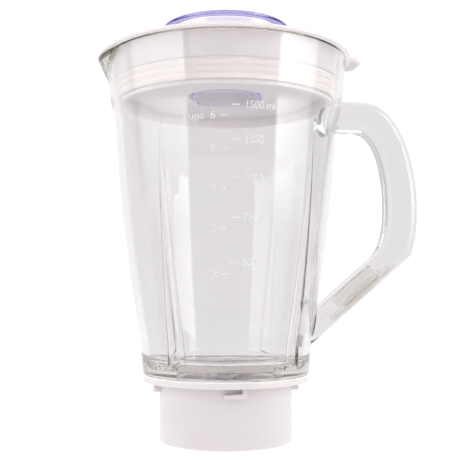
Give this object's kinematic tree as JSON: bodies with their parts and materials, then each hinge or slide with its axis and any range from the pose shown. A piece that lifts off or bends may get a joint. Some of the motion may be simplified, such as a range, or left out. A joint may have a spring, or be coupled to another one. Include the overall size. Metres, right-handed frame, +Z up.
{
  "type": "blender jar",
  "caption": "Countertop blender's glass jar with spout and moulded handle, white lid with a clear filler cap, and a twist-off white collar holding the blade rotor.",
  "frame": {"origin": "on the surface it stands on, midway between the spout's tip and the back of the handle, in the jar's plane of symmetry", "axes": "+Z up along the jar axis, +X towards the handle, -X towards the spout"},
  "size_m": [0.2106, 0.16, 0.2603],
  "materials": {
    "jar_glass": "clear soda-lime glass, fire polished",
    "white_plastic": "warm white polypropylene, fine satin",
    "tinted_plastic": "clear violet-blue plastic, polished",
    "pale_rubber": "translucent silicone",
    "black_rubber": "moulded nitrile rubber",
    "steel": "brushed stainless steel",
    "bronze": "sintered oil-filled bronze"
  },
  "bodies": {
    "collar": {"base_collar": "white_plastic", "blade_carrier": "white_plastic", "jar_gasket": "pale_rubber", "lower_bush": "bronze", "upper_bush": "bronze", "shaft_seal": "black_rubber"},
    "rotor": {"blade_shaft": "steel", "upper_thrust_washer": "bronze", "lower_thrust_washer": "bronze", "lower_blade": "steel", "blade_spacer": "steel", "upper_blade": "steel", "lock_washer": "steel", "blade_nut": "steel", "retaining_clip": "steel", "drive_coupling": "black_rubber", "coupling_insert": "steel"},
    "jar": {"glass_jar": "jar_glass"},
    "lid": {"lid": "white_plastic", "lid_inner_plate": "white_plastic", "lid_seal": "pale_rubber"},
    "cap": {"filler_cap": "tinted_plastic"}
  },
  "joints": [
    {"name": "rotor_spin", "type": "hinge", "parent": "collar", "child": "rotor", "pos_m": [-0.0213, 0, 0.02], "axis": [0, 0, 1], "continuous": true},
    {"name": "jar_twist", "type": "hinge", "parent": "collar", "child": "jar", "pos_m": [-0.0213, 0, 0.04], "axis": [0, 0, 1], "range_deg": [0, 45]},
    {"name": "lid_lift", "type": "slide", "parent": "jar", "child": "lid", "axis": [0, 0, 1], "range_m": [0, 0.06]},
    {"name": "cap_lift", "type": "slide", "parent": "lid", "child": "cap", "axis": [0, 0, 1], "range_m": [0, 0.06]}
  ]
}
